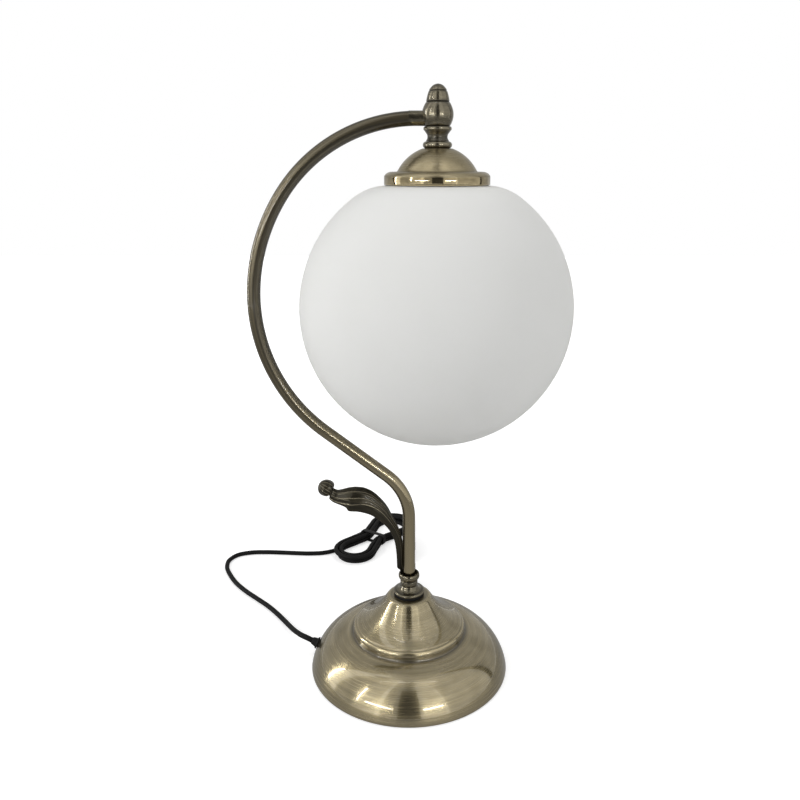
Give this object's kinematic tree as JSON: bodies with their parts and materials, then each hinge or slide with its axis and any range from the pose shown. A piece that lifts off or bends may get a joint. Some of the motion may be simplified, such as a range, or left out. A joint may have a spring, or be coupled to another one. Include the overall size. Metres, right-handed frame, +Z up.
{
  "type": "table lamp",
  "caption": "Table lamp with a bell-shaped metal foot, a tall curved tube arm with a cast leaf, and an opal glass globe hung under a spun cap, on a mains cord with a switch and plug",
  "frame": {"origin": "centre of the foot on the table", "axes": "+Z up; the arm bends in the XZ plane and the globe hangs on the +X side; +Y is the back, where the cord lies"},
  "size_m": [0.3133, 0.3708, 0.4585],
  "materials": {
    "antique_brass": "brushed antique brass, lacquered",
    "plain_brass": "bright",
    "dark_bronze": "cast, dark patina",
    "iron": "rough cast",
    "steel": "zinc plated",
    "felt": "felt",
    "black_rubber": "matt",
    "black_plastic": "satin",
    "cream_plastic": "moulded",
    "bulb_glass": "frosted",
    "opal_glass": "matt opal"
  },
  "bodies": {
    "lamp": {"base_shell": "antique_brass", "base_weight": "iron", "base_pad": "felt", "base_washer": "steel", "base_nut": "steel", "base_nipple": "steel", "cord_grommet": "black_plastic", "black_washer": "black_rubber", "collar": "antique_brass", "arm_tube": "antique_brass", "leaf": "dark_bronze", "inner_lead": "black_plastic", "knuckle": "antique_brass", "finial": "antique_brass", "neck": "antique_brass", "neck_ring": "antique_brass", "head_nipple": "steel", "shade_cap": "antique_brass", "gallery": "steel", "cap_nut": "steel", "globe_gasket": "black_rubber", "holder_cap": "black_plastic", "holder_sleeve": "black_plastic", "contact_block": "cream_plastic", "centre_contact": "plain_brass", "thread_shell": "plain_brass", "bulb_cap": "steel", "bulb_glass": "bulb_glass", "cord_lead": "black_plastic", "cord_hank": "black_plastic", "cord_tie": "black_plastic", "cord_tail": "black_plastic", "cord_end": "black_plastic", "switch_base": "black_plastic", "switch_cover": "black_plastic", "switch_screws": "steel", "plug_body": "black_plastic", "plug_pins": "steel"},
    "globe": {"globe": "opal_glass"},
    "rocker": {"switch_rocker": "black_plastic"}
  },
  "joints": [
    {"name": "globe_turn", "type": "hinge", "parent": "lamp", "child": "globe", "pos_m": [0.01973, 0, 0.3031], "axis": [0, 0, 1], "range_deg": [0, 30]},
    {"name": "switch_rock", "type": "hinge", "parent": "lamp", "child": "rocker", "pos_m": [0.0021, 0.1935, 0.01], "axis": [0, 0, 1], "range_deg": [-8, 8]}
  ]
}
